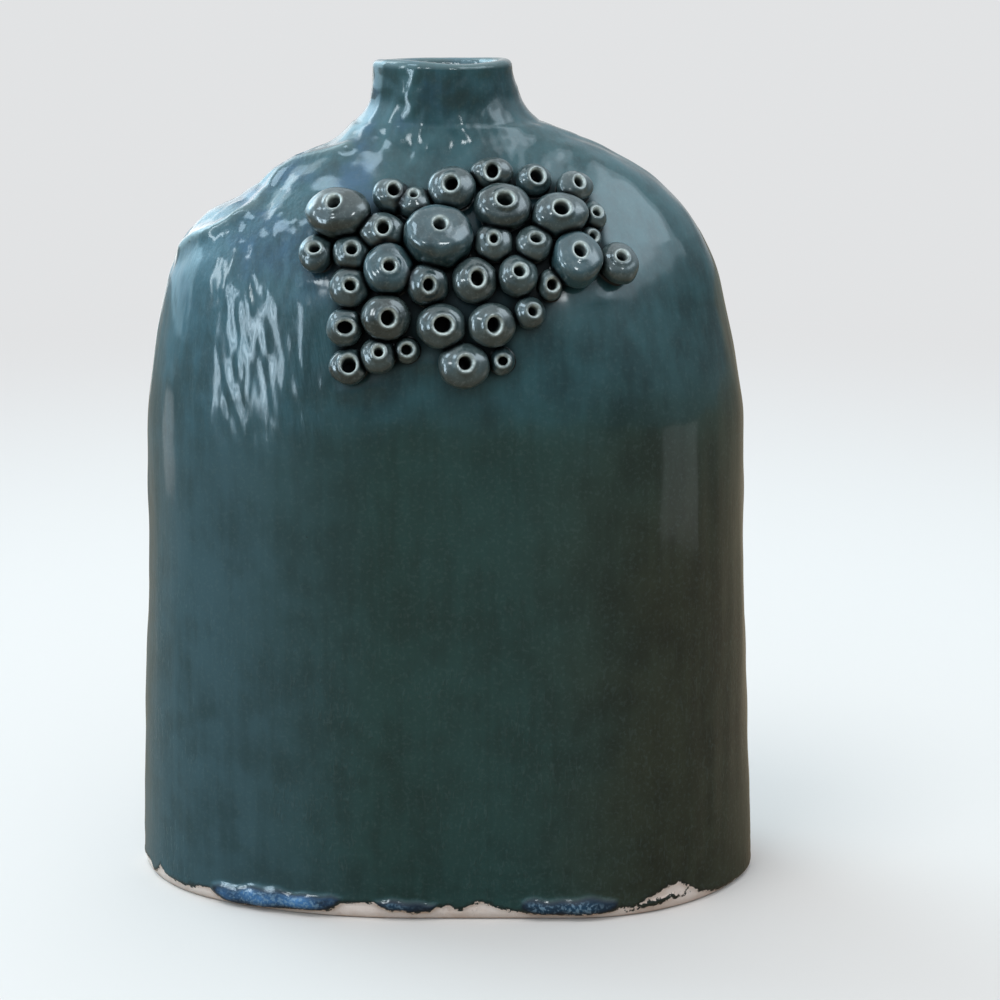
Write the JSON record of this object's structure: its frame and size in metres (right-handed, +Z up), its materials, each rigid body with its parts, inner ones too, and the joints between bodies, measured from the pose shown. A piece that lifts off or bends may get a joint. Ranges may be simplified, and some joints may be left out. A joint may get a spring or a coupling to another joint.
{
  "type": "pillow vase",
  "caption": "Upright slab-built pillow vase with a flat oval foot, soft shoulders, a short narrow neck and a crust of pierced clay beads on the front shoulder.",
  "frame": {"origin": "middle of the foot, on the surface that the vase stands on", "axes": "+Z up through the neck, -Y out of the beaded front, +X to the right as seen from the front"},
  "size_m": [0.1918, 0.0986, 0.25],
  "materials": {
    "body_glaze": "gloss",
    "bead_glaze": "gloss",
    "bare_clay": "matte"
  },
  "bodies": {
    "root": {"front_slab": "body_glaze", "back_slab": "body_glaze", "floor_slab": "bare_clay", "neck_collar": "body_glaze", "bead_01": "bead_glaze", "bead_02": "bead_glaze", "bead_03": "bead_glaze", "bead_04": "bead_glaze", "bead_05": "bead_glaze", "bead_06": "bead_glaze", "bead_07": "bead_glaze", "bead_08": "bead_glaze", "bead_09": "bead_glaze", "bead_10": "bead_glaze", "bead_11": "bead_glaze", "bead_12": "bead_glaze", "bead_13": "bead_glaze", "bead_14": "bead_glaze", "bead_15": "bead_glaze", "bead_16": "bead_glaze", "bead_17": "bead_glaze", "bead_18": "bead_glaze", "bead_19": "bead_glaze", "bead_20": "bead_glaze", "bead_21": "bead_glaze", "bead_22": "bead_glaze", "bead_23": "bead_glaze", "bead_24": "bead_glaze", "bead_25": "bead_glaze", "bead_26": "bead_glaze", "bead_27": "bead_glaze", "bead_28": "bead_glaze", "bead_29": "bead_glaze", "bead_30": "bead_glaze", "bead_31": "bead_glaze", "bead_32": "bead_glaze", "bead_33": "bead_glaze", "bead_34": "bead_glaze", "bead_35": "bead_glaze"}
  },
  "joints": []
}
